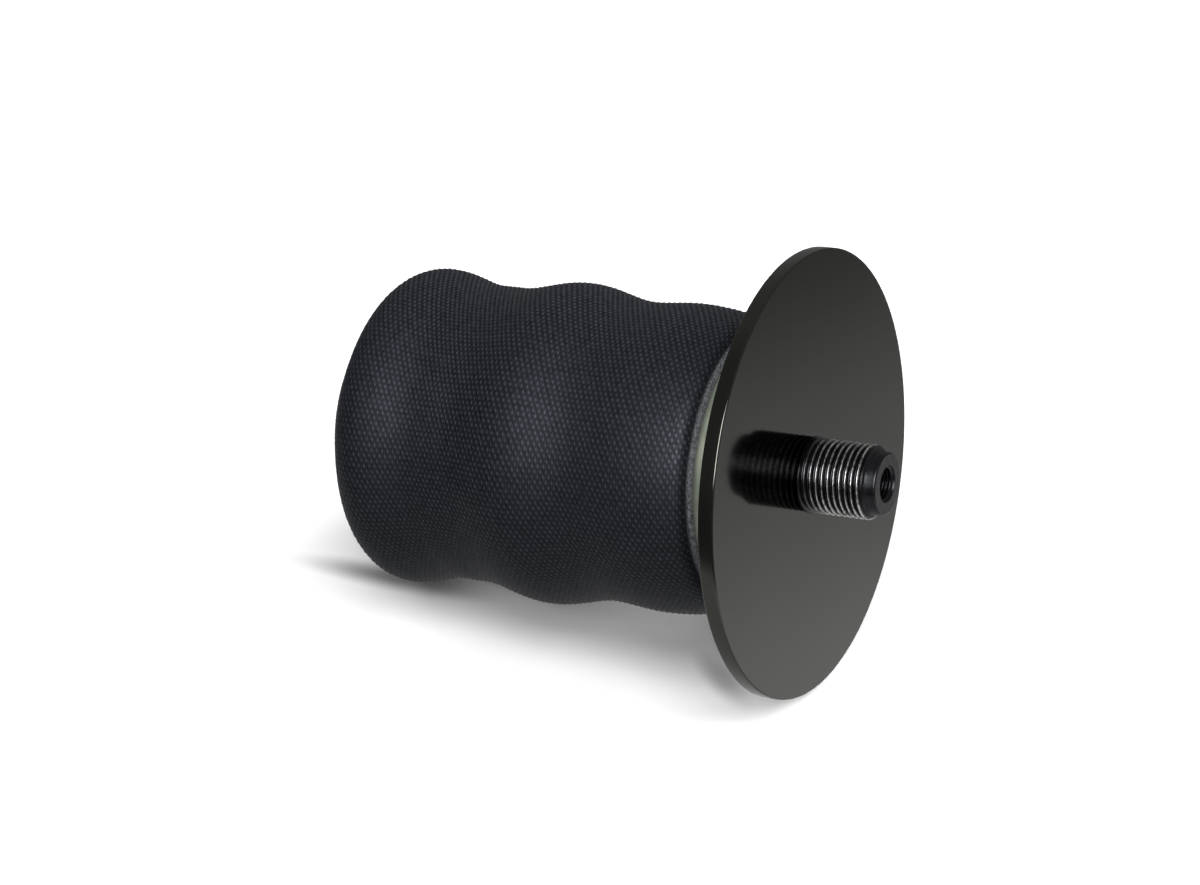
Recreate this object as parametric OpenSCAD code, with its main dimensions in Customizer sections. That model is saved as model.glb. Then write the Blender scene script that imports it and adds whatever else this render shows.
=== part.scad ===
// Sleeve air spring: a flexible rubber sleeve crimped to a bead plate under a
// round mounting plate, and rolled inside out over a moulded piston.
// The stroke axis is X. The mounting plate's outer face is at x = 0, the
// stud points along +X and the piston's base faces -X. Millimetres.

/* [Mounting plate] */
// Diameter of the round mounting plate
plate_d = 114.3; // [100:0.1:140]
// Thickness of the mounting plate
plate_t = 4; // [3:0.1:8]
// Chamfer round both faces of the mounting plate
plate_chamfer = 0.6; // [0.2:0.1:1.2]

/* [Combination stud] */
// Outside diameter of the stud's thread
stud_d = 19.05; // [17.5:0.05:22]
// Length of the threaded part, from the plate's face
thread_l = 17.2; // [10:0.1:30]
// Chamfer on the outer end of the thread
thread_chamfer = 0.6; // [0.3:0.1:1.2]
// Diameter of the plain nose in front of the thread
nose_d = 16; // [14:0.1:17]
// Length of the plain nose
nose_l = 3; // [2:0.1:8]
// Chamfer round the tip of the nose
nose_chamfer = 0.5; // [0.2:0.1:1]
// Diameter of the tapped air port, at its drilled wall
port_d = 8.73; // [7:0.01:10]
// Depth of the tapped air port
port_depth = 10.5; // [8:0.1:13]
// Countersink at the mouth of the air port
port_sink = 0.4; // [0.3:0.1:1.2]
// Diameter of the air passage behind the port
passage_d = 6; // [3:0.1:6.5]
// Step from the thread out to the shank that sits in the plates
shank_step = 0.3; // [0.1:0.05:0.6]
// Diameter of the flange inside the air chamber
flange_d = 31; // [29:0.1:36]
// Thickness of that flange
flange_t = 4; // [3.2:0.1:6]
// Thickness of the seal ring under the flange
stud_seal_t = 2; // [1.5:0.1:2.4]
// Distance from the shank out to the seal ring's groove
seal_groove_step = 0.6; // [0.3:0.1:1]

/* [Crimped bead plates] */
// Outside diameter of the upper bead plate
bead_plate_d = 67; // [60:0.1:72]
// Sheet thickness of the bead plate and the end closure
crimp_t = 1.8; // [1.2:0.1:2.4]
// How far the crimped lip reaches in from the outside
lip_l = 4; // [3.4:0.1:4.6]
// Outer bend radius between a disc and its rim
crimp_bend = 2.6; // [2:0.1:3.4]
// Outer bend radius between a rim and its lip
lip_bend = 1.6; // [1.2:0.1:1.8]

/* [Sleeve] */
// Wall thickness of the sleeve
sleeve_t = 3; // [2.4:0.1:3.4]
// Thickness of the outer rubber cover
cover_t = 1; // [0.6:0.1:1.2]
// Thickness of each of the two cord plies
ply_t = 0.5; // [0.3:0.05:0.6]
// Outside radius of the sleeve between its rolls
sleeve_r = 38.8; // [36:0.1:44]
// Radius of the shoulder where the sleeve leaves the bead plate
shoulder_r = 4.5; // [4:0.1:6]
// How far the sleeve draws in at that shoulder
shoulder_draw = 0.9; // [0:0.1:1.5]
// Length over which it draws in
shoulder_draw_l = 6; // [3:0.1:10]
// Distance of the first roll's crest from the plate's face
roll1_x = 35.5; // [32:0.1:40]
// Height of the first roll
roll1_h = 0.9; // [0:0.1:3]
// Half length of the first roll
roll1_l = 14; // [8:0.1:16]
// Distance of the second roll's crest from the plate's face
roll2_x = 68.6; // [62:0.1:74]
// Height of the second roll
roll2_h = 3.1; // [0:0.1:5]
// Half length of the second roll
roll2_l = 19; // [12:0.1:20]
// Height of the roll at the lobe
roll3_h = 2.9; // [1:0.1:5]
// Half length of the roll at the lobe
roll3_l = 15.5; // [10:0.1:17]
// Radius of the lobe past its crest
lobe_r = 9.3; // [6:0.1:12]
// Slope of the lobe between its crest and its fold, in degrees
lobe_slope = 57; // [45:1:65]
// Outer radius of the fold at the lobe's end
fold_r = 4; // [3.8:0.1:5]

/* [Beads] */
// Width of a bead across its wire
bead_w = 6; // [5.4:0.1:6.4]
// Length of a bead along the axis
bead_l = 10.2; // [8:0.1:14]
// Thickness of the bead wire
wire_d = 3.2; // [2:0.1:3.6]

/* [Piston] */
// Distance from the plate's face to the piston's base at rest
rest_l = 128; // [124:0.1:150]
// Outside diameter of the piston
piston_d = 42; // [41:0.1:45]
// Length of the piston
piston_l = 56; // [52:0.1:60]
// Distance of the lobe's end from the piston's base at rest
lobe_setback = 2.7; // [0:0.1:8]
// Wall thickness of the piston's skirt
skirt_t = 3; // [2:0.1:4]
// Thickness of the piston's top
crown_t = 8; // [6:0.1:10]
// Diameter of the piston's central boss
boss_d = 25; // [24:0.1:28]
// Chamfer round the piston's base
base_chamfer = 1; // [0.4:0.1:1.5]
// Number of ribs inside the skirt
rib_count = 8; // [4:1:12]
// Thickness of each rib
rib_t = 2.2; // [1.6:0.1:3]
// Distance of the ribs from the piston's base
rib_setback = 1.5; // [0.5:0.1:4]

/* [Piston insert and bolt] */
// Diameter of the threaded insert
insert_d = 16; // [15:0.1:18]
// Length of the threaded insert
insert_l = 40; // [38:0.1:42]
// Diameter of the insert's flange in the base
insert_flange_d = 21; // [19:0.1:23]
// Thickness of the insert's flange
insert_flange_t = 3; // [2:0.1:5]
// Depth of the ring grooves that key the insert in the piston
insert_groove = 0.8; // [0.4:0.1:1]
// Distance between the starts of those grooves
groove_pitch = 8; // [7:0.1:9]
// Length of each groove
groove_l = 5; // [4:0.1:6]
// Diameter of the tapped mounting hole, at its drilled wall
mount_hole_d = 10.72; // [8:0.01:11.5]
// Depth of the tapped mounting hole
mount_hole_l = 20; // [14:0.1:21]
// Chamfer at the mouth of the mounting hole
mount_hole_chamfer = 1; // [0.4:0.1:1.4]
// Diameter of the piston bolt
bolt_d = 9.5; // [8:0.1:10]
// Solid web in the insert between the mounting hole and the bolt's hole
insert_web = 6; // [5:0.1:8]
// Space in the insert past the bolt's end
bolt_end_gap = 1.2; // [0.5:0.1:2]
// Width of the bolt head across its flats
bolt_af = 14.3; // [13:0.1:15]
// Height of the bolt head
bolt_head_h = 6; // [4:0.1:8]
// Thickness of the lock washer
washer_t = 2; // [1:0.1:2.4]
// Diameter of the lock washer
washer_d = 15.6; // [14:0.1:16]
// Thickness of the seal ring round the bolt
bolt_seal_t = 2.6; // [1.8:0.1:3]

/* [Bumper] */
// Height of the bumper above the end closure
bumper_h = 40; // [34:0.1:40.4]
// Diameter of the bumper across its rings
bumper_d = 32; // [28:0.1:36]
// Diameter of the waist between the rings
bumper_waist_d = 26; // [24:0.1:27]
// Diameter of the bumper's tip
bumper_tip_d = 20; // [16:0.1:24]
// Diameter of the hole through the bumper
bumper_bore_d = 10; // [6:0.1:12]
// Sheet thickness of the dished retainer that holds the bumper
retainer_t = 1.5; // [1:0.1:2]
// How far the retainer's edge stands off the closure
retainer_lift = 2.2; // [1.5:0.1:3]

/* [Clearances] */
// Gap between the sleeve and the pieces that move with the piston
sleeve_gap = 0.2; // [0.1:0.05:0.4]
// Gap round pieces that are pressed, moulded or clamped together
seat_gap = 0.05; // [0.01:0.01:0.1]
// Gap round the bolt where it passes through a hole
bolt_gap = 0.25; // [0.1:0.05:0.5]
// Gap beside a seal ring in its groove
seal_gap = 0.1; // [0.05:0.05:0.15]
// Gap between the bumper and the bolt head in it
head_gap = 0.5; // [0.3:0.1:1]
// Gap between the bumper and the retainer that holds it
hook_gap = 0.3; // [0.2:0.1:0.5]

/* [Hidden] */
$fn = 96;
// Steps in a quarter turn of a rounded profile
quarter = 8;
// Steps along the rolls of the sleeve
roll_steps = 40;
// Small break on a machined edge
edge_break = 0.5;
// Chamfer on a larger edge
edge_chamfer = 1;
// Half height of the cone that a drill leaves
drill_point = 2;

// Upper end
bead_x = -plate_t;
bead_in_x = bead_x - crimp_t;
crimp_h = bead_l + 2 * crimp_t;
lip_x = bead_x - crimp_h;
bead_r = bead_plate_d / 2;
shank_r = stud_d / 2 + shank_step;
flange_x = bead_in_x - flange_t;
tip_x = thread_l + nose_l;
seal_in_r = shank_r + seal_groove_step;

// Lower end
base_x = -rest_l;
crown_x = base_x + piston_l;
piston_r = piston_d / 2;
closure_top_x = crown_x + crimp_h;
closure_in_x = crown_x + crimp_t;
skirt_in_r = piston_r - skirt_t;
web_x = crown_x - crown_t;
bolt_r = bolt_d / 2;
bolt_hole_r = bolt_r + bolt_gap;
head_x = closure_in_x + retainer_t + washer_t;
insert_top_x = base_x + insert_l;
mount_end_x = base_x + mount_hole_l;
insert_hole_end_x = mount_end_x + insert_web;
bolt_end_x = insert_hole_end_x + bolt_end_gap;

// Sleeve
lip_edge_r = crimp_t / 2;
neck_r = bead_r - lip_l - seat_gap;
shoulder_x = lip_x - seat_gap - shoulder_r;
fold_in_r = piston_r + sleeve_gap;
fold_c = [base_x + lobe_setback + fold_r, fold_in_r + fold_r];
lobe_crest_r = sleeve_r + roll3_h;
slope_end = [fold_c[0] - fold_r * sin(lobe_slope), fold_c[1] + fold_r * cos(lobe_slope)];
slope_start_r = lobe_crest_r - lobe_r * (1 - cos(lobe_slope));
slope_start_x = slope_end[0] + (slope_start_r - slope_end[1]) / tan(lobe_slope);
lobe_x = slope_start_x + lobe_r * sin(lobe_slope);
lower_neck_r = piston_r - lip_l - sleeve_gap;

// A profile point is [x, r]: its place along the stroke axis and its radius.
function arc(c, rad, from, to, steps) =
    [for (i = [0:steps]) let (a = from + (to - from) * i / steps) c + rad * [cos(a), sin(a)]];
function turned_points(p) = [for (q = p) [q[1], q[0]]];

// Turns a profile of [x, r] points about the stroke axis
module turned(p) {
    rotate([0, 90, 0]) rotate_extrude() polygon(turned_points(p));
}

// A ring of round section about the stroke axis
module ring(x, r, section_r) {
    translate([x, 0, 0]) rotate([0, 90, 0]) rotate_extrude() translate([r, 0]) circle(section_r, $fn = 48);
}

// One roll of the sleeve: a smooth hump round its crest
function roll(x, crest_x, h, l) =
    abs(x - crest_x) < l ? h * pow(cos(90 * (x - crest_x) / l), 2) : 0;

// Outside radius of the sleeve between its shoulder and its lobe
function cover_r(x) = sleeve_r + roll(x, -roll1_x, roll1_h, roll1_l)
    + roll(x, -roll2_x, roll2_h, roll2_l) + roll(x, lobe_x, roll3_h, roll3_l)
    - roll(x, shoulder_x, shoulder_draw, shoulder_draw_l);

// The cover's outer surface, from the upper bead round the lobe to the lower bead
cover_line = concat(
    [[lip_x + crimp_t, neck_r]],
    arc([lip_x + lip_edge_r, bead_r - lip_l + lip_edge_r], lip_edge_r + seat_gap, 270, 180, quarter),
    arc([shoulder_x, cover_r(shoulder_x) - shoulder_r], shoulder_r, 0, 90, quarter),
    [for (i = [1:roll_steps - 1]) let (x = shoulder_x + (lobe_x - shoulder_x) * i / roll_steps)
        [x, cover_r(x)]],
    arc([lobe_x, lobe_crest_r - lobe_r], lobe_r, 90, 90 + lobe_slope, quarter),
    arc(fold_c, fold_r, 90 + lobe_slope, 270, 2 * quarter),
    arc([closure_top_x - lip_bend, piston_r - lip_bend], lip_bend + sleeve_gap, 90, 0, quarter),
    arc([closure_top_x - lip_edge_r, piston_r - lip_l + lip_edge_r],
        lip_edge_r + sleeve_gap, 0, -90, quarter),
    [[closure_top_x - crimp_t, lower_neck_r]]);

// The same line moved into the wall by a depth
function heading(p, i) = let (d = p[min(i + 1, len(p) - 1)] - p[max(i - 1, 0)]) d / norm(d);
function inset_line(p, depth) =
    [for (i = [0:len(p) - 1]) let (h = heading(p, i)) p[i] + depth * [-h[1], h[0]]];
function reversed(p) = [for (i = [len(p) - 1:-1:0]) p[i]];
function layer(from, to) = concat(inset_line(cover_line, from), reversed(inset_line(cover_line, to)));

// Profile of a crimped bead plate: a disc, a rim and a lip round the bead.
// The disc lies at x0 and the plate opens towards dir.
function crimped(x0, dir, out_r, hole_r) =
    let (in_r = out_r - crimp_t, lip_r = out_r - lip_l + lip_edge_r,
         flat = [[0, hole_r], [crimp_t, hole_r]],
         inside = concat(arc([crimp_bend, out_r - crimp_bend], crimp_bend - crimp_t, 180, 90, 4),
                         [[crimp_h - crimp_t, in_r]]),
         lip = arc([crimp_h - lip_edge_r, lip_r], lip_edge_r, 180, 360, quarter),
         outside = concat(arc([crimp_h - lip_bend, out_r - lip_bend], lip_bend, 0, 90, 6),
                          arc([crimp_bend, out_r - crimp_bend], crimp_bend, 90, 180, 6)))
    [for (q = concat(flat, inside, lip, outside)) [x0 + dir * q[0], q[1]]];

// Profile of the bead block that fills a crimp, between two axial faces
function bead_block(x0, x1, in_r, out_r) =
    let (c = edge_chamfer, s = sign(x1 - x0))
    [[x0, in_r + c], [x0, out_r - c], [x0 + s * c, out_r], [x1, out_r], [x1, in_r + c],
     [x1 - s * c, in_r], [x0 + s * c, in_r]];

// Outline of the threaded insert, grown by a gap
function insert_outline(gap) =
    let (r = insert_d / 2 + gap, root_r = r - insert_groove, c = edge_chamfer,
         flange_x = base_x + insert_flange_t + gap, flange_r = insert_flange_d / 2 + gap,
         first = base_x + insert_flange_t + groove_pitch / 2)
    concat([[base_x, flange_r], [flange_x, flange_r], [flange_x, r]],
           [for (i = [0:2], q = [[0, r], [c, root_r], [groove_l - c, root_r], [groove_l, r]])
               [first + i * groove_pitch + q[0], q[1]]],
           [[insert_top_x + gap, r]]);

module mounting_plate() {
    c = plate_chamfer;
    r = plate_d / 2;
    hole_r = shank_r + seat_gap;
    color("#1b1c1b") turned([[0, hole_r], [0, r - c], [-c, r], [c - plate_t, r],
                             [-plate_t, r - c], [-plate_t, hole_r]]);
}

module combo_stud() {
    thread_r = stud_d / 2;
    nose_r = nose_d / 2;
    port_r = port_d / 2;
    passage_r = passage_d / 2;
    groove_out_r = seal_in_r + stud_seal_t + 2 * seal_gap;
    flange_r = flange_d / 2;
    port_end_x = tip_x - port_depth;
    color("#55585a") turned([
        [tip_x - port_sink, port_r], [tip_x, port_r + port_sink],
        [tip_x, nose_r - nose_chamfer], [tip_x - nose_chamfer, nose_r],
        [thread_l, nose_r], [thread_l, thread_r - thread_chamfer],
        [thread_l - thread_chamfer, thread_r], [0, thread_r], [0, shank_r],
        [bead_in_x, shank_r], [bead_in_x, seal_in_r],
        [bead_in_x - stud_seal_t, seal_in_r], [bead_in_x - stud_seal_t, groove_out_r],
        [bead_in_x, groove_out_r], [bead_in_x, flange_r - edge_break],
        [bead_in_x - edge_break, flange_r], [flange_x + edge_chamfer, flange_r],
        [flange_x, flange_r - edge_chamfer], [flange_x, passage_r],
        [port_end_x - (port_r - passage_r), passage_r], [port_end_x, port_r]]);
}

module stud_seal() {
    color("#232323") ring(bead_in_x - stud_seal_t / 2, seal_in_r + seal_gap + stud_seal_t / 2, stud_seal_t / 2);
}

module bead_plate() {
    color("#b9bcae") turned(crimped(bead_x, -1, bead_r, shank_r + seat_gap));
}

module upper_bead_wire() {
    color("#9a7b4c") ring(bead_in_x - bead_l / 2, bead_r - crimp_t - bead_w / 2, wire_d / 2);
}

module sleeve_cover() {
    color("#2b2d33") turned(layer(0, cover_t));
}

module outer_ply() {
    color("#5c4f3d") turned(layer(cover_t, cover_t + ply_t));
}

// The inner ply turns round both bead wires and forms the beads
module inner_ply() {
    upper_out_r = bead_r - crimp_t - seat_gap;
    lower_out_r = piston_r - crimp_t - sleeve_gap;
    from = cover_t + ply_t;
    to = from + ply_t;
    root = 1;
    color("#4c4133") difference() {
        union() {
            turned(layer(from, to));
            turned(bead_block(bead_in_x, lip_x + crimp_t, upper_out_r - bead_w, upper_out_r));
            turned(bead_block(closure_in_x + sleeve_gap, closure_top_x - crimp_t - sleeve_gap,
                              lower_out_r - bead_w, lower_out_r));
            turned([[lip_x + crimp_t, neck_r - from], [lip_x + crimp_t + root, neck_r - from],
                    [lip_x + crimp_t + root, neck_r - to], [lip_x + crimp_t, neck_r - to]]);
            turned([[closure_top_x - crimp_t, lower_neck_r - from],
                    [closure_top_x - crimp_t - root, lower_neck_r - from],
                    [closure_top_x - crimp_t - root, lower_neck_r - to],
                    [closure_top_x - crimp_t, lower_neck_r - to]]);
        }
        ring(bead_in_x - bead_l / 2, bead_r - crimp_t - bead_w / 2, wire_d / 2 + seat_gap);
        ring(crown_x + crimp_h / 2, piston_r - crimp_t - bead_w / 2, wire_d / 2 + sleeve_gap);
    }
}

module inner_liner() {
    color("#1e1f22") turned(layer(cover_t + 2 * ply_t, sleeve_t));
}

module lower_bead_wire() {
    color("#9a7b4c") ring(crown_x + crimp_h / 2, piston_r - crimp_t - bead_w / 2, wire_d / 2);
}

module end_closure() {
    color("#b9bcae") turned(crimped(crown_x, 1, piston_r, bolt_hole_r));
}

module piston() {
    seal_r = bolt_r + bolt_seal_t + seal_gap;
    boss_r = boss_d / 2;
    c = base_chamfer;
    color("#26272a") union() {
        turned(concat(
            [[crown_x, seal_r], [crown_x, piston_r - edge_break], [crown_x - edge_break, piston_r],
             [base_x + c, piston_r], [base_x, piston_r - c], [base_x, skirt_in_r],
             [web_x, skirt_in_r], [web_x, boss_r], [base_x, boss_r]],
            insert_outline(seat_gap),
            [[insert_top_x + seat_gap, bolt_hole_r], [crown_x - bolt_seal_t, bolt_hole_r],
             [crown_x - bolt_seal_t, seal_r]]));
        for (i = [0:rib_count - 1])
            rotate([360 / rib_count * (i + 0.5), 0, 0])
                translate([base_x + rib_setback, -rib_t / 2, boss_r - 1])
                    cube([web_x + 1 - base_x - rib_setback, rib_t, skirt_in_r - boss_r + 2]);
    }
}

module piston_insert() {
    hole_r = mount_hole_d / 2;
    c = mount_hole_chamfer;
    bolt_seat_r = bolt_r + seat_gap;
    color("#8f9294") turned(concat(
        [[base_x, hole_r + c]], insert_outline(0),
        [[insert_top_x, bolt_seat_r], [insert_hole_end_x, bolt_seat_r],
         [insert_hole_end_x - drill_point, 0], [mount_end_x + drill_point, 0], [mount_end_x, hole_r],
         [base_x + c, hole_r]]));
}

module piston_bolt() {
    corner_r = bolt_af / sqrt(3);
    color("#a5a79b") union() {
        translate([head_x, 0, 0]) rotate([0, 90, 0]) cylinder(r = corner_r, h = bolt_head_h, $fn = 6);
        turned([[head_x + edge_chamfer, 0], [head_x + edge_chamfer, bolt_r],
                [bolt_end_x + edge_chamfer, bolt_r], [bolt_end_x, bolt_r - edge_chamfer],
                [bolt_end_x, 0]]);
    }
}

module lock_washer() {
    x = head_x - washer_t;
    color("#8f9294") turned([[x, bolt_hole_r], [x, washer_d / 2], [head_x, washer_d / 2],
                             [head_x, bolt_hole_r]]);
}

module bolt_seal() {
    color("#232323") ring(crown_x - bolt_seal_t / 2, bolt_r + seal_gap / 2 + bolt_seal_t / 2, bolt_seal_t / 2);
}

// Dished washer: its middle is clamped, and its raised edge holds the bumper
retainer_step_r = washer_d / 2 + seal_gap + hook_gap;
retainer_r = retainer_step_r + 2 * retainer_t;
module bumper_retainer() {
    x = closure_in_x;
    t = retainer_t;
    lift = retainer_lift;
    color("#b9bcae") turned([
        [x, bolt_hole_r], [x, retainer_step_r + t], [x + lift, retainer_step_r + t],
        [x + lift, retainer_r], [x + lift + t, retainer_r], [x + lift + t, retainer_step_r],
        [x + t, retainer_step_r], [x + t, bolt_hole_r]]);
}

module bumper() {
    x = closure_in_x;
    g = seat_gap;
    foot_r = piston_r - crimp_t - sleeve_gap - bead_w - 2 * sleeve_gap;
    hook_r = retainer_step_r + retainer_t + hook_gap;
    core_r = bolt_af / sqrt(3) + head_gap;
    sill_x = closure_top_x + sleeve_gap + sleeve_t + edge_chamfer;
    top_x = x + bumper_h;
    ring_l = (top_x - sill_x) / 3;
    ring_r = bumper_d / 2;
    waist_r = bumper_waist_d / 2;
    swell = ring_r - waist_r;
    core_top_x = head_x + bolt_head_h + 4 * head_gap;
    tip_bevel = [2, 1.5];
    bore_r = bumper_bore_d / 2;
    color("#3a3a3d") turned(concat(
        [[x, hook_r], [x, foot_r], [sill_x, foot_r]],
        [for (i = [0:1], a = [0:30:180])
            [sill_x + ring_l * (i + (1 - cos(a)) / 2), waist_r + swell * sin(a)]],
        [[top_x - tip_bevel[0], bumper_tip_d / 2 + tip_bevel[1]], [top_x, bumper_tip_d / 2], [top_x, bore_r],
         [core_top_x + (core_r - bore_r), bore_r], [core_top_x, core_r],
         [x + retainer_lift + retainer_t + g, core_r],
         [x + retainer_lift + retainer_t + g, retainer_r + g],
         [x + retainer_lift - g, retainer_r + g], [x + retainer_lift - g, hook_r]]));
}

mounting_plate();
combo_stud();
stud_seal();
bead_plate();
upper_bead_wire();
sleeve_cover();
outer_ply();
inner_ply();
inner_liner();
lower_bead_wire();
end_closure();
piston();
piston_insert();
piston_bolt();
lock_washer();
bolt_seal();
bumper_retainer();
bumper();
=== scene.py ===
import math

import bpy
import numpy as np
from mathutils import Matrix, Vector

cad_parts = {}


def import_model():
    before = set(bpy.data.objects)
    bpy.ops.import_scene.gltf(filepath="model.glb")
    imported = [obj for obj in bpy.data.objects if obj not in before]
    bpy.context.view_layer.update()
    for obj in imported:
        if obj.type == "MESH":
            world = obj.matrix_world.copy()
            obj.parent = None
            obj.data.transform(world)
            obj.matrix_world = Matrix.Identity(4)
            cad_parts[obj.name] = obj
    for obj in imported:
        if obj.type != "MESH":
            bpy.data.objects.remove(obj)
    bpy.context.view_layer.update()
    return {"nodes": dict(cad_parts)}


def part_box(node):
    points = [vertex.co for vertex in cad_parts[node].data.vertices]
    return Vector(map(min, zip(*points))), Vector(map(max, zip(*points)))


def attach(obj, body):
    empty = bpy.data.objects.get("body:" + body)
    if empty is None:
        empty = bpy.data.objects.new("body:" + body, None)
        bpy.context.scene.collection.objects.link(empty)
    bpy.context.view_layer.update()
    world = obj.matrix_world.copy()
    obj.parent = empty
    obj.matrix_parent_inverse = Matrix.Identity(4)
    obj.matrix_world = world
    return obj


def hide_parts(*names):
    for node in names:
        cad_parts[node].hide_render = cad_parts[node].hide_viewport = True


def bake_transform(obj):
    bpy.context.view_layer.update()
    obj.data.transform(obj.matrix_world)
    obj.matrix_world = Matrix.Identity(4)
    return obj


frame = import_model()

MM = 0.001

# Sleeve, the same sizes as the CAD sleeve, in millimetres
SLEEVE_T = 3.0
SLEEVE_R = 38.8
SHOULDER_R = 4.5
SHOULDER_DRAW, SHOULDER_SLOPE = 0.9, 16.7
ROLLS = ((35.5, 0.9, 14.0), (68.6, 3.1, 19.0))
LOBE_H, LOBE_L, LOBE_R, LOBE_SLOPE = 2.9, 15.5, 9.3, 57.0
FOLD_R = 4.0
LOBE_SETBACK = 2.7
CRIMP_T, LIP_L, LIP_BEND = 1.8, 4.0, 1.6
SLEEVE_GAP, SEAT_GAP = 0.2, 0.05
BEAD_W = 6.0

# Weave pressed into the cover: periods round the sleeve and along it
WEAVE_AROUND = 92
WEAVE_HEIGHT = 0.18
WEAVE_STEPS = 4
COLUMNS = WEAVE_AROUND * WEAVE_STEPS
CROSSING_SHARE = 0.62
GRAIN_SHARE, GRAIN_HEIGHT = 0.15, 0.08
GRAIN_ROWS = 1200
GRAIN = np.random.default_rng(5).uniform(-1, 1, (GRAIN_ROWS, COLUMNS))
# Threads per millimetre along the axis, at these distances from the plate's face
WEAVE_ALONG = ((0, 0.62), (35, 0.61), (52, 0.71), (69, 0.63), (90, 0.79), (112, 0.68), (126, 0.68))

# Stud, port and their threads, in millimetres
STUD_R = 19.05 / 2
THREAD_L, THREAD_CHAMFER = 17.2, 0.6
STUD_PITCH, STUD_DEPTH = 25.4 / 16, 0.95
NOSE_R, NOSE_L, NOSE_ROUND = 8.0, 3.0, 0.5
STUD_TIP = THREAD_L + NOSE_L
SHANK_R = STUD_R + 0.3
STUD_FLANGE_R, STUD_FLANGE_T = 15.5, 4.0
PORT_R, PORT_L, PORT_SINK = 8.73 / 2, 10.5, 0.4
PORT_PITCH, PORT_DEPTH = 25.4 / 27, 0.65
PASSAGE_R = 3.0
# A thread's root and flank, each as a share of half its pitch
THREAD_ROOT, THREAD_FLANK = 0.12, 0.72
STUD_COLUMNS = 144

# Plate
PLATE_ROUND = 0.4
PLATE_HOLE_R = STUD_R + 0.35
PLATE_COLUMNS = 320


def edge(node, axis, high):
    """One face of a CAD node's box, in millimetres."""
    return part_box(node)[1 if high else 0][axis] / MM


PLATE_R = edge("mounting_plate", 2, True)
PLATE_T = -edge("mounting_plate", 0, False)
BEAD_R = edge("bead_plate", 2, True)
LIP_X = edge("bead_plate", 0, False)
PISTON_R = edge("end_closure", 2, True)
CLOSURE_TOP_X = edge("end_closure", 0, True)
CROWN_X = edge("end_closure", 0, False)
BASE_X = edge("piston", 0, False)


# Profile of the sleeve's outer surface, [x, r] points from the upper to the lower bead
LINE_STEP = 0.05


def arc(centre, radius, start, end, steps=60):
    angle = np.radians(np.linspace(start, end, steps + 1))
    return np.array(centre) + radius * np.stack([np.cos(angle), np.sin(angle)], 1)


def roll(x, crest_x, height, length):
    return np.where(abs(x - crest_x) < length, height * np.cos(np.pi / 2 * (x - crest_x) / length) ** 2, 0)


def cover_line():
    """The cover's outer line, with a point about every twentieth of a millimetre, and some places on it."""
    slope = math.radians(LOBE_SLOPE)
    fold = np.array([BASE_X + LOBE_SETBACK + FOLD_R, PISTON_R + SLEEVE_GAP + FOLD_R])
    slope_end = fold + FOLD_R * np.array([-math.sin(slope), math.cos(slope)])
    slope_start_r = SLEEVE_R + LOBE_H - LOBE_R * (1 - math.cos(slope))
    lobe_x = slope_end[0] + (slope_start_r - slope_end[1]) / math.tan(slope) + LOBE_R * math.sin(slope)
    shoulder = np.array([LIP_X - SEAT_GAP - SHOULDER_R, SLEEVE_R - SHOULDER_DRAW - SHOULDER_R])
    lean = math.radians(SHOULDER_SLOPE)
    draw_end = shoulder + SHOULDER_R * np.array([math.sin(lean), math.cos(lean)])
    draw = SLEEVE_R - draw_end[1]
    draw_l = 2 * draw / math.tan(lean)
    lip_r = CRIMP_T / 2

    def cover_r(x):
        drawn = draw * (np.maximum(x - draw_end[0] + draw_l, 0) / draw_l) ** 2
        r = SLEEVE_R + roll(x, lobe_x, LOBE_H, LOBE_L) - drawn
        return r + sum(roll(x, -crest, height, length) for crest, height, length in ROLLS)

    x = np.linspace(draw_end[0], lobe_x, 1200)[1:-1]
    line = np.concatenate([
        [[LIP_X + CRIMP_T, BEAD_R - LIP_L - SEAT_GAP]],
        arc((LIP_X + lip_r, BEAD_R - LIP_L + lip_r), lip_r + SEAT_GAP, 270, 180),
        arc(shoulder, SHOULDER_R, 0, 90 - SHOULDER_SLOPE),
        np.stack([x, cover_r(x)], 1),
        arc((lobe_x, SLEEVE_R + LOBE_H - LOBE_R), LOBE_R, 90, 90 + LOBE_SLOPE),
        arc(fold, FOLD_R, 90 + LOBE_SLOPE, 270),
        arc((CLOSURE_TOP_X - LIP_BEND, PISTON_R - LIP_BEND), LIP_BEND + SLEEVE_GAP, 90, 0),
        arc((CLOSURE_TOP_X - lip_r, PISTON_R - LIP_L + lip_r), lip_r + SLEEVE_GAP, 0, -90),
        [[CLOSURE_TOP_X - CRIMP_T, PISTON_R - LIP_L - SLEEVE_GAP]],
    ])
    step = np.r_[0, np.cumsum(np.hypot(*np.diff(line, axis=0).T))]
    even = np.arange(0, step[-1], LINE_STEP)
    line = np.stack([np.interp(even, step, line[:, 0]), np.interp(even, step, line[:, 1])], 1)
    return even, line, {"shoulder": shoulder, "fold": fold}


LINE_S, LINE, PLACE = cover_line()
HEADING = np.gradient(LINE, axis=0)
HEADING /= np.hypot(*HEADING.T)[:, None]
INWARD = np.stack([-HEADING[:, 1], HEADING[:, 0]], 1)


def on_line(s, depth=0.0):
    """Points of the profile at distances s along it, moved into the wall by a depth."""
    point = np.stack([np.interp(s, LINE_S, LINE[:, i]) for i in (0, 1)], 1)
    inward = np.stack([np.interp(s, LINE_S, INWARD[:, i]) for i in (0, 1)], 1)
    return point + depth * inward


# The weave's phase along the profile
along_rate = np.interp(-LINE[:, 0], [d for d, _ in WEAVE_ALONG], [rate for _, rate in WEAVE_ALONG])
PHASE = np.cumsum(along_rate) * (LINE_S[1] - LINE_S[0])


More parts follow.
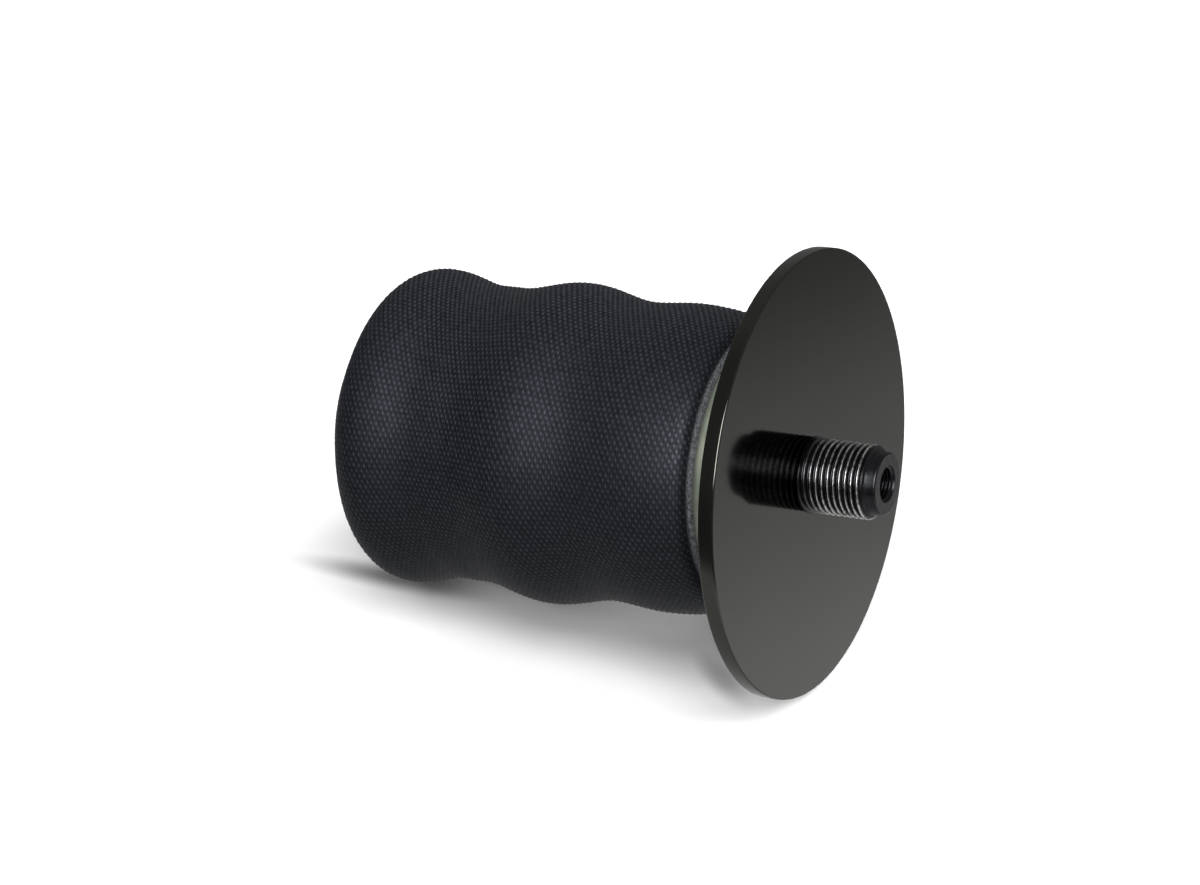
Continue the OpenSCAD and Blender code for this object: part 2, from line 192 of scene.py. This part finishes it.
def s_at_phase(phase):
    return np.interp(phase, PHASE, LINE_S)


def build(name, points, faces, smooth=None, slots=None):
    mesh = bpy.data.meshes.new(name)
    mesh.vertices.add(len(points))
    mesh.vertices.foreach_set("co", np.asarray(points, np.float32).ravel())
    mesh.loops.add(faces.size)
    mesh.loops.foreach_set("vertex_index", faces.ravel().astype(np.int32))
    mesh.polygons.add(len(faces))
    mesh.polygons.foreach_set("loop_start", np.arange(0, faces.size, 4, dtype=np.int32))
    mesh.update(calc_edges=True)
    mesh.polygons.foreach_set("use_smooth", np.ones(len(faces), bool) if smooth is None else smooth)
    if slots is not None:
        mesh.polygons.foreach_set("material_index", slots.astype(np.int32))
    mesh.validate()
    piece = bpy.data.objects.new(name, mesh)
    bpy.context.scene.collection.objects.link(piece)
    return piece


def runs_inwards(loop):
    """Whether a closed [x, r] loop runs so that its faces would look into the solid."""
    ahead = np.roll(loop, -1, 0)
    return np.sum(loop[:, 0] * ahead[:, 1] - ahead[:, 0] * loop[:, 1]) > 0


def revolve(name, loops, columns, flat=(), slots=None):
    """A closed ring: loops is an array [row, column, (x, r)] or [row, (x, r)] whose rows close on themselves.
    Rows in flat start a band of flat faces. All in millimetres."""
    loops = np.asarray(loops, float)
    if loops.ndim == 2:
        loops = np.repeat(loops[:, None, :], columns, 1)
    rows = len(loops)
    angle = 2 * np.pi * np.arange(columns) / columns
    x, r = loops[..., 0], loops[..., 1]
    points = np.stack([x, r * np.cos(angle), r * np.sin(angle)], -1).reshape(-1, 3) * MM
    i = np.arange(rows)[:, None]
    k = np.arange(columns)[None, :]
    i2, k2 = (i + 1) % rows, (k + 1) % columns
    corners = (i * columns + k, i * columns + k2, i2 * columns + k2, i2 * columns + k)
    faces = np.stack(corners, -1).reshape(-1, 4)
    if runs_inwards(loops[:, 0]):
        faces = faces[:, ::-1]
    smooth = np.ones((rows, columns), bool)
    for row in flat:
        smooth[row] = False
    band = None if slots is None else np.repeat(np.asarray(slots), columns)
    return build(name, points, faces, smooth.ravel(), band)


def paint(piece, *materials):
    for material in materials:
        piece.data.materials.append(material)


# Materials
def new_material(name):
    material = bpy.data.materials.new(name)
    material.use_nodes = True
    nodes = material.node_tree.nodes
    nodes.clear()
    shader = nodes.new("ShaderNodeBsdfPrincipled")
    output = nodes.new("ShaderNodeOutputMaterial")
    material.node_tree.links.new(shader.outputs[0], output.inputs[0])
    return material, shader


def node(material, kind, **values):
    made = material.node_tree.nodes.new(kind)
    for key, value in values.items():
        if hasattr(made, key):
            setattr(made, key, value)
        else:
            made.inputs[key.replace("_", " ")].default_value = value
    return made


def link(material, source, target):
    material.node_tree.links.new(source, target)


def place(material):
    return node(material, "ShaderNodeTexCoord").outputs["Object"]


def noise(material, scale, detail, stretch=None):
    texture = node(material, "ShaderNodeTexNoise", Scale=scale, Detail=detail)
    source = place(material)
    if stretch:
        mapping = node(material, "ShaderNodeMapping")
        mapping.inputs["Scale"].default_value = stretch
        link(material, source, mapping.inputs["Vector"])
        source = mapping.outputs[0]
    link(material, source, texture.inputs["Vector"])
    return texture.outputs["Fac"]


def ramp(material, source, stops):
    made = node(material, "ShaderNodeValToRGB")
    elements = made.color_ramp.elements
    for k, (position, colour) in enumerate(stops):
        element = elements[k] if k < 2 else elements.new(position)
        element.position = position
        element.color = (*colour, 1)
    link(material, source, made.inputs["Fac"])
    return made.outputs["Color"]


def span(material, source, low, high, out_low, out_high):
    made = node(material, "ShaderNodeMapRange")
    for key, value in (("From Min", low), ("From Max", high), ("To Min", out_low), ("To Max", out_high)):
        made.inputs[key].default_value = value
    link(material, source, made.inputs["Value"])
    return made.outputs[0]


def bump(material, shader, source, distance):
    """Bends the shading as heights up to distance, in metres, would."""
    made = node(material, "ShaderNodeBump", Distance=distance)
    link(material, source, made.inputs["Height"])
    link(material, made.outputs[0], shader.inputs["Normal"])


def cover_rubber():
    """Blue-black rubber: the weave's holes are painted dark as shade and its crests painted lighter as
    highlights, and the crests are smoother.
    A band by the bead plate is painted light as a highlight on the sleeve's edge."""
    material, shader = new_material("cover_rubber")
    shader.inputs["IOR"].default_value = 1.45
    shader.inputs["Specular IOR Level"].default_value = 0.3
    shader.inputs["Specular Tint"].default_value = (0.84, 0.9, 1.0, 1)
    relief = node(material, "ShaderNodeAttribute", attribute_name="relief").outputs["Fac"]
    height = node(material, "ShaderNodeMath", operation="MULTIPLY_ADD")
    link(material, relief, height.inputs[0])
    height.inputs[1].default_value = 0.5
    link(material, span(material, noise(material, 700, 3), 0.3, 0.7, 0.44, 0.56), height.inputs[2])
    # Painted shade and highlights: by the relief's height, the weave's holes are painted near black and its
    # crests lighter
    painted_weave_shade = ramp(material, height.outputs[0], [(0.34, (0.0004, 0.0005, 0.0008)),
                                              (0.52, (0.0075, 0.0083, 0.0106)),
                                              (0.85, (0.034, 0.037, 0.046))])
    # Painted highlight: a light grey band where the sleeve's edge turns in by the bead plate
    edge_highlight = node(material, "ShaderNodeMath", operation="MULTIPLY")
    edge_lit = node(material, "ShaderNodeAttribute", attribute_name="edge_highlight").outputs["Fac"]
    link(material, edge_lit, edge_highlight.inputs[0])
    link(material, span(material, noise(material, 1600, 2), 0.35, 0.6, 0.2, 1), edge_highlight.inputs[1])
    colour = node(material, "ShaderNodeMix", data_type="RGBA")
    link(material, edge_highlight.outputs[0], colour.inputs["Factor"])
    link(material, painted_weave_shade, colour.inputs[6])
    colour.inputs[7].default_value = (0.36, 0.37, 0.41, 1)
    link(material, colour.outputs[2], shader.inputs["Base Color"])
    link(material, span(material, height.outputs[0], 0.35, 0.8, 0.65, 0.33), shader.inputs["Roughness"])
    bump(material, shader, noise(material, 3200, 3), 0.00003)
    return material


def plain_rubber(name, colour, rough):
    material, shader = new_material(name)
    shade = tuple(1.6 * c for c in colour)
    link(material, ramp(material, noise(material, 120, 4), [(0.3, colour), (0.7, shade)]),
         shader.inputs["Base Color"])
    link(material, span(material, noise(material, 400, 2), 0.3, 0.7, rough - 0.08, rough + 0.08),
         shader.inputs["Roughness"])
    bump(material, shader, noise(material, 1800, 3), 0.00005)
    return material


def black_plating(name, low, high):
    """Black chromated zinc, with a roughness from low to high."""
    material, shader = new_material(name)
    shader.inputs["Metallic"].default_value = 1.0
    cloudy = ramp(material, noise(material, 9, 3), [(0.3, (0.066, 0.069, 0.06)), (0.7, (0.08, 0.083, 0.073))])
    link(material, cloudy, shader.inputs["Base Color"])
    link(material, span(material, noise(material, 25, 3), 0.3, 0.7, low, high), shader.inputs["Roughness"])
    bump(material, shader, noise(material, 160, 2), 0.000004)
    return material


def metal(name, dark, light, rough, stretch=None, metallic=1.0):
    material, shader = new_material(name)
    shader.inputs["Metallic"].default_value = metallic
    link(material, ramp(material, noise(material, 60, 4, stretch), [(0.3, dark), (0.7, light)]),
         shader.inputs["Base Color"])
    link(material, span(material, noise(material, 240, 3, stretch), 0.3, 0.7, rough - 0.08, rough + 0.08),
         shader.inputs["Roughness"])
    return material


def stud_metal():
    """Dark phosphated steel whose thread crests are rubbed bright by its nut; painted shade keeps the flanks
    that face the plate dark, and the crests grow less bright towards the plate.
    """
    material, shader = new_material("stud_metal")
    shader.inputs["Metallic"].default_value = 1.0
    worn_and_shaded = node(material, "ShaderNodeMath", operation="MULTIPLY")
    wear_and_shade = node(material, "ShaderNodeAttribute", attribute_name="wear_and_shade").outputs["Fac"]
    link(material, wear_and_shade, worn_and_shaded.inputs[0])
    link(material, span(material, noise(material, 900, 4), 0.3, 0.6, 0.45, 1.0), worn_and_shaded.inputs[1])
    link(material, ramp(material, worn_and_shaded.outputs[0],
                        [(0.0, (0.04, 0.041, 0.045)), (0.4, (0.12, 0.12, 0.12)), (1.0, (0.8, 0.8, 0.79))]),
         shader.inputs["Base Color"])
    link(material, span(material, noise(material, 500, 3), 0.3, 0.7, 0.26, 0.4),
         shader.inputs["Roughness"])
    bump(material, shader, noise(material, 1500, 2), 0.00001)
    return material


def nylon():
    material, shader = new_material("nylon")
    cloudy = ramp(material, noise(material, 80, 4),
                  [(0.3, (0.012, 0.0125, 0.013)), (0.7, (0.02, 0.021, 0.022))])
    link(material, cloudy, shader.inputs["Base Color"])
    link(material, span(material, noise(material, 300, 3), 0.3, 0.7, 0.38, 0.5), shader.inputs["Roughness"])
    bump(material, shader, noise(material, 1200, 3), 0.00003)
    return material


COVER = cover_rubber()
LINER = plain_rubber("liner_rubber", (0.012, 0.012, 0.013), 0.5)
SEAL = plain_rubber("seal_rubber", (0.008, 0.008, 0.008), 0.35)
BUMPER = plain_rubber("bumper_rubber", (0.02, 0.02, 0.022), 0.6)
BLACK = black_plating("black_plating", 0.07, 0.1)
RIM = black_plating("turned_black", 0.17, 0.22)
ZINC = metal("zinc", (0.36, 0.4, 0.32), (0.48, 0.52, 0.42), 0.42, metallic=0.85)
WIRE = metal("bronze_wire", (0.35, 0.24, 0.12), (0.5, 0.36, 0.2), 0.35)
TURNED = metal("turned_steel", (0.35, 0.35, 0.36), (0.5, 0.5, 0.51), 0.28, stretch=(30, 1, 1))
BOLT = metal("bolt_steel", (0.45, 0.46, 0.42), (0.6, 0.61, 0.56), 0.32)
NYLON = nylon()


# Sleeve: the woven wall, the fold, and the tuck that lies on the piston
def weave(phase):
    """Relief of the weave, at most 1, at each row's phase and every column: each crossing of two threads
    is high, every second one higher, and the holes between the threads are low."""
    along, around = 2 * np.pi * phase[:, None], 2 * np.pi * np.arange(COLUMNS) / WEAVE_STEPS
    crossing = np.cos(along) * np.cos(around)
    threads = (np.cos(2 * along) + np.cos(2 * around)) / 2
    grain = GRAIN[np.round(phase * WEAVE_STEPS).astype(int) % GRAIN_ROWS]
    even = CROSSING_SHARE * crossing + (1 - CROSSING_SHARE) * threads
    return even * (1 - GRAIN_SHARE + GRAIN_SHARE * grain) + GRAIN_HEIGHT * grain


def sleeve_rows(phase, share):
    """Rows of the sleeve's outer surface at these phases, [row, column, (x, r)], and the weave's relief."""
    s = s_at_phase(phase)
    outer = on_line(s)
    inward = on_line(s, 1.0) - outer
    relief = weave(phase) * share(s)[:, None]
    return outer[:, None, :] - WEAVE_HEIGHT * relief[..., None] * inward[:, None, :], relief


def turned_normals(rows):
    """Outward normals of the middle one of three rows."""
    angle = 2 * np.pi * np.arange(COLUMNS) / COLUMNS
    x, r = rows[..., 0], rows[..., 1]
    points = np.stack([x, r * np.cos(angle), r * np.sin(angle)], -1)
    down = points[2] - points[0]
    round_ = np.roll(points[1], -1, 0) - np.roll(points[1], 1, 0)
    normal = np.cross(down, round_)
    return normal / np.linalg.norm(normal, axis=1)[:, None]


def s_of(x, r):
    return LINE_S[np.argmin(np.hypot(LINE[:, 0] - x, LINE[:, 1] - r))]


# Where the sleeve leaves the bead plate, how far the painted highlight on its edge reaches and how it fades,
# and where the weave begins
# and ends: each a length of rubber without weave and the length over which the weave then reaches its height
NECK_DROP = 1.5
NECK_S = s_of(LIP_X - SEAT_GAP, BEAD_R - NECK_DROP)
EDGE_HIGHLIGHT_L, EDGE_HIGHLIGHT_FADE = 3.4, 1.2
NECK_PLAIN, NECK_GROWTH = 1.5, 2.0
TUCK_PLAIN, TUCK_GROWTH = 3.0, 3.0


def row_phases(s_from, s_to, near=0.02):
    """The weave's phases at the rows between two places: both ends, and each step that isn't near one."""
    first, last = np.interp((s_from, s_to), LINE_S, PHASE) * WEAVE_STEPS
    steps = np.arange(math.ceil(first - near), math.floor(last + near) + 1)
    ahead = [first] if steps[0] - first > near else []
    behind = [last] if last - steps[-1] > near else []
    return np.r_[ahead, steps, behind] / WEAVE_STEPS


def seam_normals(rows, phase, share, seams):
    """Corner normals [row, column, corner, xyz], 0 where Blender's own are right. Each seam is the row whose
    surface runs on in the next part, the band of faces beside it, and that band's corners on the row."""
    normals = np.zeros((rows, COLUMNS, 4, 3))
    step = 1 / WEAVE_STEPS
    for row, band, corners in seams:
        around, _ = sleeve_rows(phase[row] + np.array([-step, 0, step]), share)
        normal = turned_normals(around)
        for corner, ahead in corners:
            normals[band, :, corner] = np.roll(normal, -ahead, 0)
    return normals.reshape(-1, 3).tolist()


def sleeve_part(name, s_from, s_to, share, rows_in, seam_first=False, seam_last=False):
    """A closed length of the sleeve's wall. share is the part of the weave's height that each row has.
    At a seam the outer surface takes the normals of the surface that runs on."""
    phase = row_phases(s_from, s_to)
    woven, relief = sleeve_rows(phase, share)
    inner = np.repeat(on_line(np.linspace(s_to, s_from, rows_in), SLEEVE_T)[:, None, :], COLUMNS, 1)
    n, rows = len(phase), len(phase) + rows_in
    part = revolve(name, np.concatenate([woven, inner]), COLUMNS, flat=(n - 1, rows - 1),
                   slots=[0] * n + [1] * rows_in)
    paint(part, COVER, LINER)
    # Painted highlight on the sleeve's edge by the bead plate, fading away from it
    edge_highlight_rows = np.clip((NECK_S + EDGE_HIGHLIGHT_L - s_at_phase(phase)) / EDGE_HIGHLIGHT_FADE, 0, 1)
    for layer, on_rows in (("relief", relief), ("edge_highlight", np.repeat(edge_highlight_rows[:, None], COLUMNS, 1))):
        attribute = part.data.attributes.new(layer, "FLOAT", "POINT")
        attribute.data.foreach_set("value", np.concatenate([on_rows.ravel(), np.zeros(rows_in * COLUMNS)]))
    seams = [(0, 0, ((3, 0), (2, 1)))] * seam_first + [(n - 1, n - 2, ((0, 0), (1, 1)))] * seam_last
    if seams:
        part.data.normals_split_custom_set(seam_normals(rows, phase, share, seams))
    return part


def seam_near(s):
    """The nearest place where the weave has no height, for a seam that can't be seen."""
    phase = np.interp(s, LINE_S, PHASE)
    return float(s_at_phase(round(phase * 2 - 0.5) / 2 + 0.25))


# The wall ends in the valley before the lobe, which is a part of its own
FOLD = PLACE["fold"]
s_start, s_end = 0.0, float(LINE_S[-1])
s_seam = seam_near(s_of(-ROLLS[1][0] - ROLLS[1][2], SLEEVE_R))
s_tuck = float(s_of(FOLD[0], FOLD[1] - FOLD_R))


def wall_height(s):
    """The weave begins past the cut threads."""
    return np.clip((s - NECK_S - NECK_PLAIN) / NECK_GROWTH, 0, 1)


def fold_height(s):
    """The weave ends before the piston."""
    return np.clip((s_tuck - TUCK_PLAIN - s) / TUCK_GROWTH, 0, 1)


wall = sleeve_part("sleeve_wall", s_start, s_seam, wall_height, rows_in=10, seam_last=True)
fold = sleeve_part("sleeve_fold", s_seam, s_tuck, fold_height, rows_in=24, seam_first=True)
tuck = sleeve_part("sleeve_tuck", s_tuck, s_end, lambda s: 0 * s, rows_in=40)
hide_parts("sleeve_cover", "outer_ply")
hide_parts("inner_ply")
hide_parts("inner_liner")


def along(x):
    return (x * MM, 0, 0)


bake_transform(wall)
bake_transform(fold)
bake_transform(tuck)


# Rubber blocks of the beads inside the crimps
def bead(name, x0, x1, outer_r, body):
    chamfer, columns = 1.0, 96
    inner_r = outer_r - BEAD_W
    low, high = min(x0, x1), max(x0, x1)
    block = [(low, inner_r + chamfer), (low, outer_r - chamfer), (low + chamfer, outer_r),
             (high - chamfer, outer_r), (high, outer_r - chamfer), (high, inner_r + chamfer),
             (high - chamfer, inner_r), (low + chamfer, inner_r)]
    piece = revolve(name, block, columns, flat=range(len(block)))
    paint(piece, LINER)
    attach(piece, body)


bead("upper_bead", -PLATE_T - CRIMP_T, LIP_X + CRIMP_T, BEAD_R - CRIMP_T - SEAT_GAP, "upper_end")
bead("lower_bead", CROWN_X + CRIMP_T + SLEEVE_GAP, CLOSURE_TOP_X - CRIMP_T - SLEEVE_GAP,
     PISTON_R - CRIMP_T - SLEEVE_GAP, "piston")


# Stud, with its thread and the port's thread
def thread_turn(x, angle, pitch):
    """Place on the thread's form, from -1 through the crest at 0 to 1."""
    return ((x / pitch - angle / (2 * np.pi)) % 1.0) * 2 - 1


def thread_form(x, angle, pitch):
    """0 at the root and 1 at the crest of a right-handed thread."""
    return np.clip((1 - THREAD_ROOT - abs(thread_turn(x, angle, pitch))) / THREAD_FLANK, 0, 1)


def thread_rows(start, end, step):
    """The x of each row and column, and the columns' angles."""
    angle = 2 * np.pi * np.arange(STUD_COLUMNS) / STUD_COLUMNS
    return np.arange(start, end, step)[:, None] + 0 * angle, angle


def stud_thread():
    """The thread's rows, and how bright each point is: rubbed by the nut on the crests, with painted shade on
    the flanks that face the plate, and less bright towards the plate.
    """
    x, angle = thread_rows(0, THREAD_L, STUD_PITCH / 20)
    r = STUD_R - STUD_DEPTH * (1 - thread_form(x, angle, STUD_PITCH))
    r = np.minimum(r, STUD_R - THREAD_CHAMFER + np.maximum(THREAD_L - x - 0.05, 0))
    r = np.maximum(r, NOSE_R + 0.02)
    height = (r - (STUD_R - STUD_DEPTH)) / STUD_DEPTH
    # Painted shade keeps the flanks that face the plate dark; the last factor below makes the crests less
    # bright towards the plate
    outer_flank = np.clip(thread_turn(x, angle, STUD_PITCH) * 6 + 0.2, 0.03, 1)
    wear_and_shade = np.clip((height - 0.25) / 0.6, 0, 1) * outer_flank * np.clip(0.15 + x / 6, 0, 1)
    return np.stack([x, r], -1), wear_and_shade


def port_thread():
    start = STUD_TIP - PORT_SINK
    x, angle = thread_rows(start, STUD_TIP - PORT_L, -PORT_PITCH / 14)
    r = PORT_R + 0.3 - PORT_DEPTH * thread_form(x, angle, PORT_PITCH) * np.clip((start - x) / 0.4, 0, 1)
    return np.stack([x, r], -1)


def plain(points):
    """Rows of the stud that are round."""
    return np.repeat(np.array(points, float)[:, None, :], STUD_COLUMNS, 1)


def stud():
    flange_x = -PLATE_T - CRIMP_T
    flange_end = flange_x - STUD_FLANGE_T
    before = plain([(flange_end, PASSAGE_R), (flange_end, STUD_FLANGE_R - 1), (flange_end + 1, STUD_FLANGE_R),
                    (flange_x - 0.5, STUD_FLANGE_R), (flange_x, STUD_FLANGE_R - 0.5),
                    (flange_x, SHANK_R), (0, SHANK_R), (0, STUD_R - 0.1)])
    thread, wear_and_shade = stud_thread()
    loops = np.concatenate([
        before,
        thread,
        plain([(THREAD_L, NOSE_R + 0.02), (THREAD_L + 0.05, NOSE_R)]),
        plain(arc((STUD_TIP - NOSE_ROUND, NOSE_R - NOSE_ROUND), NOSE_ROUND, 90, 0, 6)),
        plain([(STUD_TIP, PORT_R + PORT_SINK)]),
        port_thread(),
        plain([(STUD_TIP - PORT_L, PORT_R), (STUD_TIP - PORT_L - (PORT_R - PASSAGE_R), PASSAGE_R)]),
    ])
    rubbed_and_shaded = np.zeros(loops.shape[:2])
    rubbed_and_shaded[len(before):len(before) + len(thread)] = wear_and_shade
    piece = revolve("stud", loops, STUD_COLUMNS)
    steep = np.abs(np.diff(np.r_[loops[:, 0, 0], loops[0, 0, 0]])) < 1e-9
    piece.data.polygons.foreach_set("use_smooth", np.repeat(~steep, STUD_COLUMNS))
    piece.data.attributes.new("wear_and_shade", "FLOAT", "POINT").data.foreach_set("value", rubbed_and_shaded.ravel())
    paint(piece, stud_metal())
    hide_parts("combo_stud")
    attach(piece, "upper_end")


stud()


def plate():
    """The mounting plate with its edges rounded as the plating leaves them, and a turned rim."""
    front = np.concatenate([[(0, PLATE_HOLE_R)],
                            arc((-PLATE_ROUND, PLATE_R - PLATE_ROUND), PLATE_ROUND, 0, 90, 6)])
    back = np.concatenate([arc((PLATE_ROUND - PLATE_T, PLATE_R - PLATE_ROUND), PLATE_ROUND, 90, 180, 6),
                           [(-PLATE_T, PLATE_HOLE_R)]])
    outline = np.concatenate([front, back])
    back_face, hole = len(outline) - 2, len(outline) - 1
    turned = range(len(front) - 1, back_face)
    slots = [int(band in turned) for band in range(len(outline))]
    piece = revolve("plate", outline, PLATE_COLUMNS, flat=(0, back_face, hole), slots=slots)
    paint(piece, BLACK, RIM)
    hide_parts("mounting_plate")
    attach(piece, "upper_end")


plate()

# CAD pieces that keep their shape
for name, material in (
    ("bead_plate", ZINC), ("stud_seal", SEAL), ("upper_bead_wire", WIRE),
    ("lower_bead_wire", WIRE), ("end_closure", ZINC), ("piston", NYLON), ("piston_insert", TURNED),
    ("piston_bolt", BOLT), ("lock_washer", BOLT), ("bolt_seal", SEAL), ("bumper_retainer", ZINC),
    ("bumper", BUMPER),
):
    data = frame["nodes"][name].data
    data.materials.clear()
    data.materials.append(material)


# Floor: it touches the plate's back edge and the lobe
LOBE_PAST_ROLL = 20
lobe_points = LINE[LINE[:, 0] < -ROLLS[1][0] - LOBE_PAST_ROLL]
drop = np.min((PLATE_R - lobe_points[:, 1]) / (-PLATE_T - lobe_points[:, 0]))
FLOOR_TILT = math.atan(drop)
floor_up = Vector((math.sin(FLOOR_TILT), 0, math.cos(FLOOR_TILT)))
floor_along = Vector((math.cos(FLOOR_TILT), 0, -math.sin(FLOOR_TILT)))
FLOOR_MIDDLE = 0.06
FLOOR_SIZE = 2.0
FLOOR_FADE = (0.28, 0.5)
# Close shadows where the piece rests: middle, radii, turn in degrees and the brightness that is left
CLOSE_SHADOWS = (((-0.058, -0.0145), (0.035, 0.0075), 8, 0.27), ((0.04, -0.017), (0.017, 0.0065), -38, 0.55))


def close_shadow(material, middle, radii, turn, left):
    """1 on the floor round an ellipse, and less inside it."""
    mapping = node(material, "ShaderNodeMapping", vector_type="TEXTURE")
    mapping.inputs["Location"].default_value = (*middle, 0)
    mapping.inputs["Rotation"].default_value = (0, 0, math.radians(turn))
    mapping.inputs["Scale"].default_value = (*radii, 1)
    link(material, place(material), mapping.inputs["Vector"])
    distance = node(material, "ShaderNodeVectorMath", operation="LENGTH")
    link(material, mapping.outputs[0], distance.inputs[0])
    shade = span(material, distance.outputs["Value"], 0.1, 1, left, 1)
    shade.node.interpolation_type = "SMOOTHSTEP"
    return shade


def floor():
    """A white sheet that fades into the backdrop. Reflections don't find it, so dark sides stay dark."""
    material, shader = new_material("floor")
    colour = ramp(material, noise(material, 3, 2), [(0.3, (0.93, 0.93, 0.93)), (0.7, (0.95, 0.95, 0.95))])
    for shadow in CLOSE_SHADOWS:
        darker = node(material, "ShaderNodeVectorMath", operation="SCALE")
        link(material, colour, darker.inputs[0])
        link(material, close_shadow(material, *shadow), darker.inputs["Scale"])
        colour = darker.outputs[0]
    link(material, colour, shader.inputs["Base Color"])
    shader.inputs["Roughness"].default_value = 0.9
    shader.inputs["Specular IOR Level"].default_value = 0.1
    distance = node(material, "ShaderNodeVectorMath", operation="LENGTH")
    link(material, place(material), distance.inputs[0])
    link(material, span(material, distance.outputs["Value"], *FLOOR_FADE, 1, 0), shader.inputs["Alpha"])
    half = FLOOR_SIZE / 2
    points = np.array([(-half, -half, 0), (half, -half, 0), (half, half, 0), (-half, half, 0)])
    piece = build("floor", points, np.array([[0, 1, 2, 3]]))
    middle = Vector((-PLATE_T, 0, -PLATE_R)) * MM - FLOOR_MIDDLE * floor_along
    piece.matrix_world = Matrix.Translation(middle) @ Matrix.Rotation(FLOOR_TILT, 4, "Y")
    paint(piece, material)
    piece.visible_glossy = False
    piece.visible_diffuse = False


floor()


# Camera at the photograph's angle, level with the floor
def camera():
    place_at = Vector((0.36705, -0.70686, 0.43133))
    aim = Vector((-0.06929, 0.01408, -0.00728))
    data = bpy.data.cameras.new("camera")
    data.lens = 108.0
    data.sensor_width = 36.0
    back = (place_at - aim).normalized()
    right = floor_up.cross(back).normalized()
    up = back.cross(right)
    piece = bpy.data.objects.new("camera", data)
    piece.matrix_world = Matrix.Translation(place_at) @ Matrix((right, up, back)).transposed().to_4x4()
    bpy.context.scene.collection.objects.link(piece)
    bpy.context.scene.camera = piece


camera()


# Lights
def area_light(name, place_at, aim, size, power, on_surfaces=True, in_gloss=True):
    data = bpy.data.lights.new(name, "AREA")
    data.shape = "RECTANGLE"
    data.size, data.size_y = size
    data.energy = power
    piece = bpy.data.objects.new(name, data)
    piece.visible_camera = False
    piece.visible_diffuse = on_surfaces
    piece.visible_glossy = in_gloss
    piece.location = place_at
    piece.rotation_mode = "QUATERNION"
    piece.rotation_quaternion = (Vector(aim) - Vector(place_at)).to_track_quat("-Z", "Y")
    bpy.context.scene.collection.objects.link(piece)


def world():
    """A plain white backdrop. Reflections find grey surroundings that are darkest in front."""
    made = bpy.data.worlds.new("studio")
    made.use_nodes = True
    directions = node(made, "ShaderNodeTexCoord").outputs["Generated"]

    def brightness(direction, low, high, stops):
        towards = node(made, "ShaderNodeVectorMath", operation="DOT_PRODUCT")
        towards.inputs[1].default_value = direction
        link(made, directions, towards.inputs[0])
        grey = ramp(made, span(made, towards.outputs["Value"], low, high, 0, 1),
                    [((place_at - low) / (high - low), (value, value, value)) for place_at, value in stops])
        grey.node.color_ramp.interpolation = "EASE"
        return grey

    product = node(made, "ShaderNodeVectorMath", operation="MULTIPLY")
    link(made, brightness(floor_up, -1, 1, SURROUNDINGS), product.inputs[0])
    link(made, brightness(Vector(FRONT).normalized(), 0, 1, FRONT_SHARE), product.inputs[1])
    seen = node(made, "ShaderNodeMix", data_type="RGBA")
    seen.inputs[7].default_value = (BACKDROP, BACKDROP, BACKDROP, 1)
    link(made, node(made, "ShaderNodeLightPath").outputs["Is Camera Ray"], seen.inputs[0])
    link(made, product.outputs[0], seen.inputs[6])
    link(made, seen.outputs[2], made.node_tree.nodes["Background"].inputs["Color"])
    bpy.context.scene.world = made
    made.cycles_visibility.diffuse = False


bpy.context.scene.view_settings.view_transform = "Standard"
BACKDROP = 1.1
# Brightness of the surroundings by height, and its share from the side to the middle of the dark front
SURROUNDINGS = ((-0.8, 0.5), (-0.47, 0.8), (-0.41, 0.46), (-0.355, 0.18), (-0.1, 0.18), (0.3, 0.27))
FRONT = (-0.41, -0.81, 0.43)
FRONT_SHARE = ((0.3, 1.0), (0.7, 0.6), (0.93, 0.5))
world()
AIM = (-0.05, 0, -0.05)
area_light("shine", (0.18, -0.38, 0.31), (-0.04, 0, 0), (0.3, 0.3), 3.6, on_surfaces=False)
area_light("back_right", (0.87, 0.92, 0.7), AIM, (0.7, 0.7), 16, in_gloss=False)
area_light("right", (1.25, 0, 0.7), AIM, (0.7, 0.7), 15, in_gloss=False)
area_light("front", (-0.05, -1.3, 0.7), AIM, (0.7, 0.7), 10.5, in_gloss=False)
area_light("front_right", (0.87, -0.92, 0.7), AIM, (0.7, 0.7), 4, in_gloss=False)
area_light("top", (0.3, -0.6, 1.25), AIM, (0.8, 0.8), 14, in_gloss=False)
area_light("left", (-0.58, -0.53, 1.25), AIM, (0.7, 0.7), 5, in_gloss=False)
area_light("rear", (-1.05, 0.95, 0.45), AIM, (0.7, 0.7), 4, in_gloss=False)
